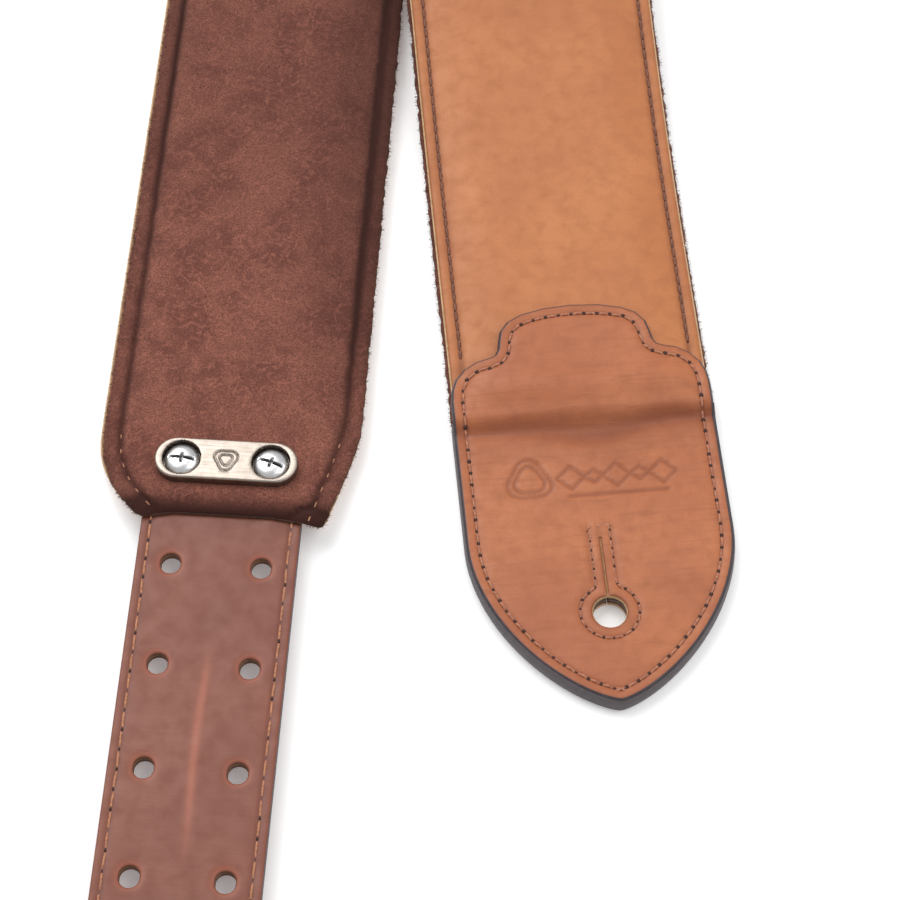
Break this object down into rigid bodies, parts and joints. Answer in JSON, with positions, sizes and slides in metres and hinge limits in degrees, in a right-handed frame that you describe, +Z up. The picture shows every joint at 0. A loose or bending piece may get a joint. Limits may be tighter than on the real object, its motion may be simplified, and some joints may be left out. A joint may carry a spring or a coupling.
{
  "type": "guitar strap",
  "caption": "Padded leather guitar strap with suede back, stitched button-hole tab and a punched adjusting tail held in its pocket by a screwed metal plate.",
  "frame": {"origin": "centre of the bounding box on the floor the strap lies on", "axes": "+Z up from the floor; +Y from the strap's two ends towards the fold; +X to the right with the ends nearest the viewer"},
  "size_m": [0.16, 0.6352, 0.0681],
  "materials": {
    "front_leather": "semi-gloss pull-up leather",
    "suede": "matt napped suede",
    "foam": "closed-cell foam",
    "brown_thread": "waxed thread",
    "tab_leather": "semi-gloss leather, painted edge",
    "tab_thread": "waxed thread",
    "hidden_steel": "plain",
    "tab_core": "raw leather board",
    "tail_leather": "satin leather, painted edge",
    "tail_backing": "matt leather",
    "antique_nickel": "antiqued nickel, worn on the high edges",
    "bright_screw": "bright"
  },
  "bodies": {
    "strap": {"front_leather": "front_leather", "backing_suede": "suede", "padding": "foam", "seam_thread_left": "brown_thread", "seam_thread_right": "brown_thread", "crown_facing": "tab_leather", "crown_seam_thread": "tab_thread", "nut_plate": "hidden_steel"},
    "front_tab": {"tab_facing": "tab_leather", "tab_core": "tab_core", "tab_backing": "suede", "tab_seam_thread": "tab_thread", "keyhole_thread": "tab_thread"},
    "tail": {"tail_face": "tail_leather", "tail_backing": "tail_backing"},
    "tail_end": {"tail_end_face": "tail_leather", "tail_end_backing": "tail_backing"},
    "plate": {"adjuster_plate": "antique_nickel"},
    "left_screw": {"screw_left": "bright_screw"},
    "right_screw": {"screw_right": "bright_screw"}
  },
  "joints": [
    {"name": "tail_adjust", "type": "slide", "parent": "strap", "child": "tail", "axis": [0.079, 0.9969, 0], "range_m": [-0.1608, 0.1608]},
    {"name": "plate_lift", "type": "slide", "parent": "strap", "child": "plate", "axis": [0, 0, 1], "range_m": [0, 0.012]},
    {"name": "screw_left_turn", "type": "hinge", "parent": "plate", "child": "left_screw", "pos_m": [-0.05472, -0.0841, 0.0099], "axis": [0, 0, 1], "continuous": true},
    {"name": "screw_right_turn", "type": "hinge", "parent": "plate", "child": "right_screw", "pos_m": [-0.03279, -0.08584, 0.0099], "axis": [0, 0, 1], "continuous": true},
    {"name": "front_tab_bend", "type": "hinge", "parent": "strap", "child": "front_tab", "pos_m": [0.04518, -0.07416, 0.0045], "axis": [-0.9969, -0.079, 0], "range_deg": [-40, 70], "stiffness_Nm_per_rad": 0.08},
    {"name": "tail_end_bend", "type": "hinge", "parent": "tail", "child": "tail_end", "pos_m": [-0.05808, -0.26581, 0.00545], "axis": [-0.9969, 0.079, 0], "range_deg": [-35, 35], "stiffness_Nm_per_rad": 0.05}
  ]
}
